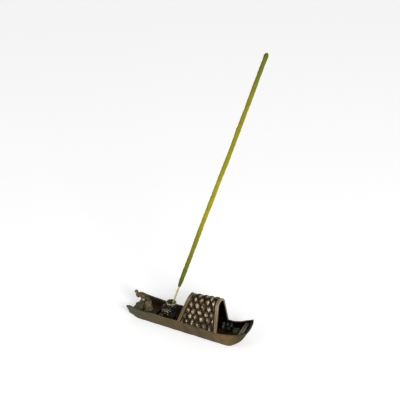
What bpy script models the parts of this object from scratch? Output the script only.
"""Cast bronze sampan that holds one stick of incense, modelled as separate castings and fittings.

Lengths in this file are in millimetres; build_object() turns them into metres.
+X points to the bow, -Y is the near side, +Z is up.
The origin is on the flat underside of the hull, on its centreline.
"""
import math

import bmesh
import bpy
from mathutils import Matrix, Vector

METRES_PER_MM = 0.001
GAP = 0.3

# Hull.  One row for each station, stern to bow:
# gunwale x, gunwale z, gunwale half width, keel x, keel z, chine half width
HULL_STATIONS = (
    (-47.3, 9.3, 9.9, -45.2, 3.0, 8.7),
    (-45.0, 10.0, 10.0, -43.2, 1.9, 8.3),
    (-42.0, 9.7, 10.0, -41.0, 0.5, 8.1),
    (-39.3, 9.5, 10.0, -39.0, 0.0, 8.0),
    (-34.0, 9.1, 10.0, -34.0, 0.0, 8.0),
    (-24.0, 8.9, 10.0, -24.0, 0.0, 8.0),
    (-6.0, 9.3, 10.0, -6.0, 0.0, 8.0),
    (16.0, 9.3, 10.0, 16.0, 0.0, 8.0),
    (28.0, 9.6, 10.0, 29.0, 0.0, 8.0),
    (34.0, 10.8, 9.8, 34.0, 0.6, 7.9),
    (38.5, 12.3, 9.4, 39.3, 3.9, 7.7),
    (42.3, 14.0, 8.9, 43.8, 8.4, 7.5),
    (44.8, 15.4, 8.5, 46.6, 12.6, 7.4),
    (46.2, 16.3, 8.3, 48.0, 15.2, 7.3),
)
HULL_ROWS = 32
WALL = 1.4
FLOOR = 2.0
END_PLATE = 1.4
LIP_ROUNDING = 1.0
LIP_STATIONS = 4.0

# The bow of the casting is slightly twisted: far side up and back, near side down and forward.
TWIST_X = (30.0, 46.0)
TWIST_LIFT = 0.13
TWIST_SKEW = 0.09

# Awning: straight sides that lean in to meet a round crown.
AWNING_FOOT_Z = 9.65
AWNING_HALF_WIDTH = 9.6
AWNING_CROWN_RADIUS = 5.6
AWNING_CROWN_Z = (29.5, 32.0)
AWNING_STERN_X = -6.4
AWNING_STERN_LEAN = 0.30
AWNING_BOW_X = 25.5
AWNING_BOW_LEAN = 0.05
AWNING_THICKNESS = 1.0
HOOP_WIDTH = 2.6
HOOP_THICKNESS = 1.1
BOW_HOOP_THICKNESS = 1.5
CROWN_STEPS = 12
LUG_X = 12.0
LUG_LENGTH = 4.0
LUG_INNER_Y = 4.7
LUG_OUTER_Y = 6.7
BRACKET_OUTER_Y = 8.9

# Decks.
DECK_TOP = 5.0
DECK_THICKNESS = 0.7
BEARER_FOOT = 2.4
STERN_DECK_X = (-41.2, -27.0)
STERN_BEARERS_X = (-38.6, -29.5)
STERN_DECK_HALF_WIDTH = 7.1
BOW_FLOOR_X = (21.6, 35.0)
BOW_BEARERS_X = (23.4, 30.2)
BOW_FLOOR_HALF_WIDTH = 6.7
BOW_DECK_SLOPE = math.atan(0.44)
BOW_DECK_X_Z = (41.6, 11.2)
BOW_BEAMS = (("bow_beam_inner", 41.8, 12.65, 6.5), ("bow_beam_outer", 43.8, 13.65, 5.3))

# Boatman.
BOATMAN_X = -34.5
BOATMAN_Y = -0.8

# Stick holder.
CREEL_X = -17.3
CREEL_Y = -0.8
CREEL_PROFILE = ((4.6, 2.3), (5.3, 4.5), (5.7, 7.5), (5.5, 10.0), (4.9, 12.2), (4.0, 13.8), (3.3, 14.5))
CUP_RIM = Vector((-15.9, 0.0, 17.0))
CUP_TILT = math.radians(4.0)
CUP_DISH_DEPTH = 0.5
BORE_TOP = Vector((-15.3, 0.0, 17.0))
BORE_TILT = math.radians(12.0)
HOLE_RADIUS = 1.6
HOLE_DEPTH = 9.5
STEM_RADIUS = 2.4
STEM_LENGTH = 10.4

# Cargo in the bow.
JAR_PLACES = ((23.3, 5.8), (24.6, 2.3), (26.3, 6.1), (29.3, 6.3))

# Incense stick: 241 mm of 1.3 mm bamboo, coated from 26 mm above its foot.
STICK_TILT = math.radians(17.8)
STICK_FOOT = Vector((-17.35, 0.0, 8.15))
STICK_LENGTH = 241.0
CORE_RADIUS = 0.65
PASTE_RADIUS = 1.5
PASTE_START = 26.0

# Screws: the same head on shanks of different lengths.
SCREW_HEAD_RADIUS = 1.5
SCREW_HEAD_HEIGHT = 0.8
SCREW_SHANK_RADIUS = 0.8
SCREW_RECESS_DEPTH = 1.2
SCREW_HOLE_RADIUS = SCREW_SHANK_RADIUS + GAP


# ---------------------------------------------------------------- helpers

def remove_all_objects():
    for obj in list(bpy.data.objects):
        bpy.data.objects.remove(obj, do_unlink=True)


def make_material(name, colour, metallic, roughness):
    material = bpy.data.materials.new(name)
    material.use_nodes = True
    shader = material.node_tree.nodes["Principled BSDF"]
    shader.inputs["Base Color"].default_value = (*colour, 1.0)
    shader.inputs["Metallic"].default_value = metallic
    shader.inputs["Roughness"].default_value = roughness
    return material


def build_object(name, bm, material, location=(0, 0, 0), rotation=(0, 0, 0), parent=None):
    """Scales a mesh drawn in millimetres to metres and places it in the scene."""
    bmesh.ops.scale(bm, vec=(METRES_PER_MM,) * 3, verts=bm.verts)
    bmesh.ops.recalc_face_normals(bm, faces=bm.faces)
    mesh = bpy.data.meshes.new(name)
    bm.to_mesh(mesh)
    bm.free()
    mesh.materials.append(material)
    mesh.shade_smooth()
    mesh.set_sharp_from_angle(angle=math.radians(35.0))
    obj = bpy.data.objects.new(name, mesh)
    obj.location = Vector(location) * METRES_PER_MM
    obj.rotation_euler = rotation
    obj.parent = parent
    bpy.context.scene.collection.objects.link(obj)
    return obj


def boolean(target, tool, operation):
    """Keeps the tool as a wire guide and cuts it from, or joins it to, the target."""
    tool.hide_render = True
    tool.display_type = "WIRE"
    modifier = target.modifiers.new(tool.name, "BOOLEAN")
    modifier.operation = operation
    modifier.object = tool


def smooth_column(values, place):
    """Monotone cubic through evenly spaced values, read at a fractional place in the list."""
    last = len(values) - 1
    steps = [values[i + 1] - values[i] for i in range(last)]
    slopes = [steps[0]]
    for before, after in zip(steps, steps[1:]):
        level = before * after <= 0.0
        slopes.append(0.0 if level else 2.0 * before * after / (before + after))
    slopes.append(steps[-1])
    index = min(int(place), last - 1)
    t = place - index
    blend = t * t * (3.0 - 2.0 * t)
    leave = t * (1.0 - t) ** 2 * slopes[index]
    arrive = t * t * (t - 1.0) * slopes[index + 1]
    return values[index] + blend * steps[index] + leave + arrive


def add_grid_faces(bm, rows):
    for row, next_row in zip(rows, rows[1:]):
        for j in range(len(row) - 1):
            bm.faces.new((row[j], row[j + 1], next_row[j + 1], next_row[j]))


def shell_mesh(outer, inner):
    """Closed shell between two open grids of points that match row for row."""
    bm = bmesh.new()
    outside = [[bm.verts.new(point) for point in row] for row in outer]
    inside = [[bm.verts.new(point) for point in row] for row in inner]
    add_grid_faces(bm, outside)
    add_grid_faces(bm, inside)
    for side in (0, -1):
        add_grid_faces(bm, [[row[side] for row in outside], [row[side] for row in inside]])
        add_grid_faces(bm, [outside[side], inside[side]])
    return bm


def ring_mesh(rings):
    """Closed solid through rings of points, with a flat cap on the first and the last."""
    bm = bmesh.new()
    rows = [[bm.verts.new(point) for point in ring] for ring in rings]
    add_grid_faces(bm, [row + [row[0]] for row in rows])
    bm.faces.new(rows[0])
    bm.faces.new(rows[-1])
    return bm


def ellipse(centre, radius_x, radius_y, segments):
    angles = [2.0 * math.pi * i / segments for i in range(segments)]
    return [Vector(centre) + Vector((radius_x * math.cos(a), radius_y * math.sin(a), 0)) for a in angles]


def turned_mesh(profile, segments=20):
    """Solid turned about Z from (radius, z) pairs, first and last rings capped."""
    return ring_mesh([ellipse((0, 0, z), radius, radius, segments) for radius, z in profile])


def box_mesh(low, high):
    corners = ((low[0], low[1]), (high[0], low[1]), (high[0], high[1]), (low[0], high[1]))
    return ring_mesh([[Vector((x, y, z)) for x, y in corners] for z in (low[2], high[2])])


def torus_mesh(ring_radius, tube_radius, height_scale, segments=20, sides=8):
    bm = bmesh.new()
    rows = []
    for i in range(segments):
        turn = 2.0 * math.pi * i / segments
        row = []
        for k in range(sides):
            angle = 2.0 * math.pi * k / sides
            reach = ring_radius + tube_radius * math.cos(angle)
            height = tube_radius * height_scale * math.sin(angle)
            row.append(bm.verts.new((reach * math.cos(turn), reach * math.sin(turn), height)))
        rows.append(row + [row[0]])
    add_grid_faces(bm, rows + [rows[0]])
    return bm


def skin_mesh(spine, half_depths, half_widths, segments=14):
    """Solid of elliptic sections square to a spine that bends in the XZ plane."""
    rings = []
    for index, point in enumerate(spine):
        before = Vector(spine[max(index - 1, 0)])
        after = Vector(spine[min(index + 1, len(spine) - 1)])
        along = (after - before).normalized()
        across = along.cross(Vector((0, 1, 0)))
        ring = []
        for k in range(segments):
            angle = 2.0 * math.pi * k / segments
            depth = across * half_depths[index] * math.cos(angle)
            width = Vector((0, half_widths[index] * math.sin(angle), 0))
            ring.append(Vector(point) + depth + width)
        rings.append(ring)
    return ring_mesh(rings)


def ball_mesh(radius, segments=14, rows=8):
    steps = [math.pi * (i + 0.5) / rows for i in range(rows)]
    return turned_mesh([(radius * math.sin(a), -radius * math.cos(a)) for a in steps], segments)


def screw_hole(target, name, place, top, material):
    """Drills the clearance hole for a screw upwards from the underside of the boat."""
    shape = turned_mesh(((SCREW_HOLE_RADIUS, 0.0), (SCREW_HOLE_RADIUS, top)), 14)
    boolean(target, build_object(name, shape, material, (place[0], place[1], 0)), "DIFFERENCE")


# ------------------------------------------------------------------- hull

def twisted(point):
    """Moves a point with the twist of the bow."""
    share = min(max((point[0] - TWIST_X[0]) / (TWIST_X[1] - TWIST_X[0]), 0.0), 1.0)
    share = share * share * (3.0 - 2.0 * share)
    offset = share * point[1]
    return Vector((point[0] - TWIST_SKEW * offset, point[1], point[2] + TWIST_LIFT * offset))


def hull_row(place):
    """Outer and inner points across the hull at one station, near side to far side."""
    columns = list(zip(*HULL_STATIONS))
    gunwale_x, gunwale_z, gunwale_w, keel_x, keel_z, chine_w = (smooth_column(c, place) for c in columns)
    ahead = min(place + 0.05, len(HULL_STATIONS) - 1)
    behind = max(place - 0.05, 0.0)
    slope_x = smooth_column(columns[3], ahead) - smooth_column(columns[3], behind)
    slope_z = smooth_column(columns[4], ahead) - smooth_column(columns[4], behind)
    length = math.hypot(slope_x, slope_z)
    raked = abs(slope_z) / length
    plate = FLOOR + (END_PLATE - FLOOR) * raked
    floor_x = keel_x - plate * slope_z / length
    floor_z = keel_z + plate * slope_x / length
    rise = (floor_z - keel_z) / (gunwale_z - keel_z)
    floor_w = chine_w + (gunwale_w - chine_w) * rise - WALL
    rounding = LIP_ROUNDING * max(0.0, 1.0 - (len(HULL_STATIONS) - 1 - place) / LIP_STATIONS)
    outer = [Vector((gunwale_x, -gunwale_w, gunwale_z))]
    inner = [Vector((gunwale_x, WALL - gunwale_w, gunwale_z))]
    for share in (-1.0, -0.5, 0.0, 0.5, 1.0):
        back = rounding * share * share
        outer.append(Vector((keel_x - back, share * chine_w, keel_z)))
        inner.append(Vector((floor_x - back, share * floor_w, floor_z)))
    outer.append(Vector((gunwale_x, gunwale_w, gunwale_z)))
    inner.append(Vector((gunwale_x, gunwale_w - WALL, gunwale_z)))
    return [twisted(point) for point in outer], [twisted(point) for point in inner]


def screw_places():
    return {
        "awning_screw_near": (LUG_X, -(LUG_INNER_Y + LUG_OUTER_Y) / 2),
        "awning_screw_far": (LUG_X, (LUG_INNER_Y + LUG_OUTER_Y) / 2),
        "creel_screw": (CREEL_X, CREEL_Y),
        "boatman_screw": (BOATMAN_X, BOATMAN_Y),
    }


def make_hull(material):
    places = [(len(HULL_STATIONS) - 1) * i / (HULL_ROWS - 1) for i in range(HULL_ROWS)]
    rows = [hull_row(place) for place in places]
    hull = build_object("hull", shell_mesh([r[0] for r in rows], [r[1] for r in rows]), material)
    for name, (x, y) in screw_places().items():
        profile = (
            (SCREW_HEAD_RADIUS + GAP, -1.0),
            (SCREW_HEAD_RADIUS + GAP, SCREW_RECESS_DEPTH),
            (SCREW_HOLE_RADIUS, SCREW_RECESS_DEPTH),
            (SCREW_HOLE_RADIUS, 3.5),
        )
        cutter = build_object("cut_" + name, turned_mesh(profile, 14), material, (x, y, 0))
        boolean(hull, cutter, "DIFFERENCE")
    return hull


# ----------------------------------------------------------------- awning

def arch(crown_z, inset):
    """Half width and height along one arch, near foot to far foot."""
    centre_z = crown_z - AWNING_CROWN_RADIUS
    drop = centre_z - AWNING_FOOT_Z
    reach = math.hypot(AWNING_HALF_WIDTH, drop)
    touch = math.acos(AWNING_CROWN_RADIUS / reach) - math.atan2(drop, AWNING_HALF_WIDTH)
    radius = AWNING_CROWN_RADIUS - inset
    foot = (AWNING_HALF_WIDTH - inset / math.cos(touch), AWNING_FOOT_Z)
    crown = []
    for i in range(CROWN_STEPS + 1):
        angle = math.pi - touch - (math.pi - 2.0 * touch) * i / CROWN_STEPS
        crown.append((radius * math.cos(angle), centre_z + radius * math.sin(angle)))
    half_way = ((foot[0] + crown[-1][0]) / 2, (foot[1] + crown[-1][1]) / 2)
    far = [half_way, foot]
    near = [(-y, z) for y, z in reversed(far)]
    return near + crown + far


def awning_row(share, shift, inset):
    """One arch of the awning: share 0 is the stern end and 1 the bow end, moved by shift."""
    crown_z = AWNING_CROWN_Z[0] + (AWNING_CROWN_Z[1] - AWNING_CROWN_Z[0]) * share
    row = []
    for y, z in arch(crown_z, inset):
        up = z - AWNING_FOOT_Z
        stern = AWNING_STERN_X + AWNING_STERN_LEAN * up
        bow = AWNING_BOW_X - AWNING_BOW_LEAN * up
        row.append(Vector((stern + (bow - stern) * share + shift, y, z)))
    return row


def awning_piece(name, ends, insets, material):
    """Arched shell between two (share, shift) ends, from the first inset to the second."""
    rows = 4
    places = []
    for i in range(rows):
        t = i / (rows - 1)
        places.append([a + (b - a) * t for a, b in zip(*ends)])
    outer = [awning_row(share, shift, insets[0]) for share, shift in places]
    inner = [awning_row(share, shift, insets[1]) for share, shift in places]
    return build_object(name, shell_mesh(outer, inner), material)


def make_awning(material):
    trim = HOOP_WIDTH + GAP
    shell = awning_piece("awning_shell", ((0.0, trim), (1.0, -trim)), (0.0, AWNING_THICKNESS), material)
    stern_ends, bow_ends = ((0.0, 0.0), (0.0, HOOP_WIDTH)), ((1.0, -HOOP_WIDTH), (1.0, 0.0))
    awning_piece("awning_hoop_stern", stern_ends, (-0.1, HOOP_THICKNESS), material)
    awning_piece("awning_hoop_bow", bow_ends, (-0.1, BOW_HOOP_THICKNESS), material)
    for label in ("near", "far"):
        add_lug(shell, label, material)


def add_lug(shell, label, material):
    """Lug inside the hull wall: a leg for the screw, and a bracket that joins it to the awning."""
    x, y = screw_places()["awning_screw_" + label]
    side = math.copysign(1.0, y)
    top = AWNING_FOOT_Z + 2.2
    for name, reach, foot in (("leg", LUG_OUTER_Y, BEARER_FOOT), ("bracket", BRACKET_OUTER_Y, AWNING_FOOT_Z)):
        y_low, y_high = sorted((side * LUG_INNER_Y, side * reach))
        low = (x - LUG_LENGTH / 2, y_low, foot)
        high = (x + LUG_LENGTH / 2, y_high, top)
        boolean(shell, build_object(f"lug_{name}_{label}", box_mesh(low, high), material), "UNION")
    screw_hole(shell, "lug_hole_" + label, (x, y), 6.4, material)


# ------------------------------------------------------------------ decks

def make_boards(name, ends_x, half_width, bearers_x, material):
    """Flat boards on two bearers that stand on the hull floor."""
    low = (ends_x[0], -half_width, DECK_TOP - DECK_THICKNESS)
    boards = build_object(name, box_mesh(low, (ends_x[1], half_width, DECK_TOP)), material)
    for index, x in enumerate(bearers_x):
        low = (x - 0.7, -5.6, BEARER_FOOT)
        bearer = box_mesh(low, (x + 0.7, 5.6, DECK_TOP - 0.3))
        bearer = build_object(f"{name}_bearer_{index}", bearer, material)
        boolean(boards, bearer, "UNION")
    return boards


def make_bow_fittings(material):
    """Short sloping deck behind the bow lip, and the two cross beams on it."""
    deck = box_mesh((-2.2, -5.9, -0.4), (2.0, 5.9, 0.3))
    lay_on_bow(deck, *BOW_DECK_X_Z)
    build_object("bow_deck", deck, material)
    for name, x, z, half_length in BOW_BEAMS:
        beam = box_mesh((-0.6, -half_length, -0.7), (0.6, half_length, 0.6))
        lay_on_bow(beam, x, z)
        build_object(name, beam, material)


def lay_on_bow(bm, x, z):
    """Slopes a mesh like the bow deck, moves it there, and twists it with the hull."""
    slope = Matrix.Rotation(-BOW_DECK_SLOPE, 3, "Y")
    for vert in bm.verts:
        vert.co = twisted(slope @ vert.co + Vector((x, 0, z)))


# --------------------------------------------------------------- boatman

def make_boatman(material):
    """Figure bent forward at the waist: robe and back as one skin, with head, topknot and arms."""
    foot = DECK_TOP + GAP
    spine = ((-0.1, 0, foot), (-0.1, 0, 7.4), (-0.3, 0, 10.0), (0.0, 0, 12.3), (-0.8, 0, 14.2),
             (-3.0, 0, 15.7), (-4.8, 0, 16.4), (-6.3, 0, 16.5), (-7.8, 0, 15.3))
    depths = (3.4, 3.1, 2.7, 1.8, 1.5, 1.5, 1.5, 1.5, 0.9)
    widths = (3.4, 2.8, 2.4, 1.9, 1.8, 1.9, 2.1, 2.0, 1.0)
    place = (BOATMAN_X, BOATMAN_Y, 0)
    boatman = build_object("boatman", skin_mesh(spine, depths, widths), material, place)
    head = build_object("boatman_head", ball_mesh(1.85), material, (-42.9, BOATMAN_Y, 14.8))
    topknot = build_object("boatman_topknot", ball_mesh(1.45), material, (-44.2, BOATMAN_Y, 17.4))
    boolean(boatman, head, "UNION")
    boolean(boatman, topknot, "UNION")
    for side, label in ((-1, "near"), (1, "far")):
        arm_spine = ((-5.0, side * 1.9, 15.9), (-3.0, side * 2.6, 14.0), (-5.2, side * 1.0, 12.5))
        arm = skin_mesh(arm_spine, (0.95, 0.85, 0.65), (0.95, 0.85, 0.65), 10)
        arm = build_object("boatman_arm_" + label, arm, material, place)
        boolean(boatman, arm, "UNION")
    screw_hole(boatman, "boatman_hole", place, 8.0, material)


def make_cast_net(material):
    """Net gathered to a peak below the hands and spread over the stern deck."""
    layers = (
        (DECK_TOP + GAP, 2.6, 6.4, -41.1),
        (7.0, 2.8, 7.0, -41.3),
        (7.7, 2.5, 6.2, -41.2),
        (8.5, 2.0, 4.2, -40.7),
        (9.4, 1.5, 2.5, -40.1),
        (10.3, 1.0, 1.4, -39.8),
        (11.4, 0.6, 0.8, -39.6),
    )
    rings = [ellipse((x, -0.7, z), rx, ry, 16) for z, rx, ry, x in layers]
    build_object("cast_net", ring_mesh(rings), material)


# ----------------------------------------------------------- stick holder

def make_creel(material):
    """Round basket with the tilted bore that the cup's stem stands in."""
    place = (CREEL_X, CREEL_Y, 0)
    creel = build_object("creel", turned_mesh(CREEL_PROFILE, 24), material, place)
    bore_radius = STEM_RADIUS + GAP + 0.05
    bore = turned_mesh(((bore_radius, -STEM_LENGTH - 0.35), (bore_radius, 2.0)))
    boolean(creel, build_object("creel_bore", bore, material, BORE_TOP, (0, BORE_TILT, 0)), "DIFFERENCE")
    screw_hole(creel, "creel_hole", place, 4.9, material)


def make_holder_cup(material):
    """Shallow dish on a leaning stem, with the blind hole for the stick down the stem."""
    dish_profile = (
        (1.6, -1.9),
        (3.0, -1.2),
        (3.6, -0.5),
        (3.6, 0.0),
        (3.0, 0.0),
        (2.3, -CUP_DISH_DEPTH),
    )
    cup = build_object("holder_cup", turned_mesh(dish_profile, 24), material, CUP_RIM, (0, CUP_TILT, 0))
    stem = turned_mesh(((STEM_RADIUS, -STEM_LENGTH), (STEM_RADIUS, -1.4)))
    boolean(cup, build_object("cup_stem", stem, material, BORE_TOP, (0, BORE_TILT, 0)), "UNION")
    hole = turned_mesh(((HOLE_RADIUS, -HOLE_DEPTH), (HOLE_RADIUS, 1.0)))
    boolean(cup, build_object("cup_hole", hole, material, BORE_TOP, (0, BORE_TILT, 0)), "DIFFERENCE")


def make_net_heap(material):
    """Heap of netting that lies across the hull and leans on the far wall."""
    layers = (
        (2.3, 2.2, 5.8, -8.8, 0.0),
        (4.5, 2.4, 6.4, -8.8, 0.1),
        (7.0, 2.1, 6.0, -9.0, 1.2),
        (9.2, 2.1, 3.4, -10.6, 3.9),
        (11.2, 1.2, 1.8, -11.4, 5.2),
    )
    rings = [ellipse((x, y, z), rx, ry, 16) for z, rx, ry, x, y in layers]
    build_object("net_heap", ring_mesh(rings), material)


def make_mooring_line(material):
    coil = torus_mesh(1.6, 0.5, 1.0)
    build_object("mooring_line", coil, material, (-20.8, -7.0, 7.6), (math.radians(90), 0, 0))


# ------------------------------------------------------------------ cargo

def make_cargo(jar_material, material):
    """Jars, crate and bowl on the bow floor boards, and a coil of line that leans on the bow plate."""
    foot = DECK_TOP + GAP
    jar_profile = ((0.8, 0.0), (1.15, 1.0), (1.25, 2.4), (0.8, 3.6), (0.95, 4.2))
    for number, (x, y) in enumerate(JAR_PLACES, 1):
        build_object(f"jar_{number}", turned_mesh(jar_profile, 16), jar_material, (x, y, foot))
    crate = box_mesh((-1.6, -1.7, 0), (1.6, 1.7, 2.7))
    build_object("crate", crate, material, (28.6, 2.4, foot))
    bowl_profile = ((0.6, 0.0), (1.1, 0.9), (1.25, 2.2), (0.95, 2.2), (0.7, 1.0))
    build_object("rice_bowl", turned_mesh(bowl_profile, 16), jar_material, (32.0, 4.9, foot))
    line = torus_mesh(2.1, 0.8, 1.7)
    build_object("anchor_line", line, material, (35.6, 2.0, 7.75), (0, math.radians(-22), 0))


# ---------------------------------------------------------- incense stick

def make_stick(bamboo, paste):
    """Both pieces hang on an empty that stands on the sliding axis, at the stick's foot."""
    axis = bpy.data.objects.new("stick_axis", None)
    axis.location = STICK_FOOT * METRES_PER_MM
    axis.rotation_euler = (0, STICK_TILT, 0)
    bpy.context.scene.collection.objects.link(axis)
    core_top = STICK_LENGTH - 2.0
    core = turned_mesh(((CORE_RADIUS, 0.0), (CORE_RADIUS, core_top)), 12)
    build_object("stick_core", core, bamboo, parent=axis)
    bore = CORE_RADIUS + GAP
    profile = (
        (bore, core_top + GAP),
        (bore, PASTE_START),
        (PASTE_RADIUS * 0.8, PASTE_START),
        (PASTE_RADIUS, PASTE_START + 5.0),
        (PASTE_RADIUS, STICK_LENGTH - 1.0),
        (PASTE_RADIUS * 0.6, STICK_LENGTH),
    )
    build_object("incense_paste", turned_mesh(profile, 12), paste, parent=axis)


# ----------------------------------------------------------------- screws

def make_screws(material):
    """Slotted screws, head down in the recess."""
    head_foot = SCREW_RECESS_DEPTH - GAP - SCREW_HEAD_HEIGHT
    profile = (
        (SCREW_HEAD_RADIUS, head_foot),
        (SCREW_HEAD_RADIUS, head_foot + SCREW_HEAD_HEIGHT),
        (SCREW_SHANK_RADIUS, head_foot + SCREW_HEAD_HEIGHT),
    )
    tops = {"creel_screw": 4.5, "boatman_screw": 7.6}
    for name, (x, y) in screw_places().items():
        top = tops.get(name, 6.0)
        shape = turned_mesh(profile + ((SCREW_SHANK_RADIUS, top),), 14)
        screw = build_object(name, shape, material, (x, y, 0))
        slot = box_mesh((-2.0, -0.2, 0.0), (2.0, 0.2, head_foot + 0.35))
        boolean(screw, build_object(name + "_slot", slot, material, (x, y, 0)), "DIFFERENCE")


def main():
    remove_all_objects()
    bronze = make_material("antique_bronze", (0.16, 0.12, 0.08), 0.8, 0.45)
    dark_bronze = make_material("dark_bronze", (0.05, 0.045, 0.03), 0.7, 0.6)
    pale_bronze = make_material("rubbed_bronze", (0.30, 0.25, 0.19), 0.8, 0.4)
    bamboo = make_material("bamboo", (0.55, 0.50, 0.28), 0.0, 0.6)
    paste = make_material("incense_paste", (0.33, 0.31, 0.06), 0.0, 0.9)
    steel = make_material("screw_steel", (0.35, 0.34, 0.32), 0.9, 0.35)
    make_hull(bronze)
    make_awning(pale_bronze)
    stern_deck = make_boards("stern_deck", STERN_DECK_X, STERN_DECK_HALF_WIDTH, STERN_BEARERS_X, dark_bronze)
    screw_hole(stern_deck, "stern_deck_hole", (BOATMAN_X, BOATMAN_Y), 8.0, dark_bronze)
    make_boards("bow_floor", BOW_FLOOR_X, BOW_FLOOR_HALF_WIDTH, BOW_BEARERS_X, dark_bronze)
    make_bow_fittings(bronze)
    make_boatman(pale_bronze)
    make_cast_net(dark_bronze)
    make_creel(pale_bronze)
    make_holder_cup(bronze)
    make_net_heap(dark_bronze)
    make_mooring_line(bronze)
    make_cargo(pale_bronze, dark_bronze)
    make_stick(bamboo, paste)
    make_screws(steel)


main()
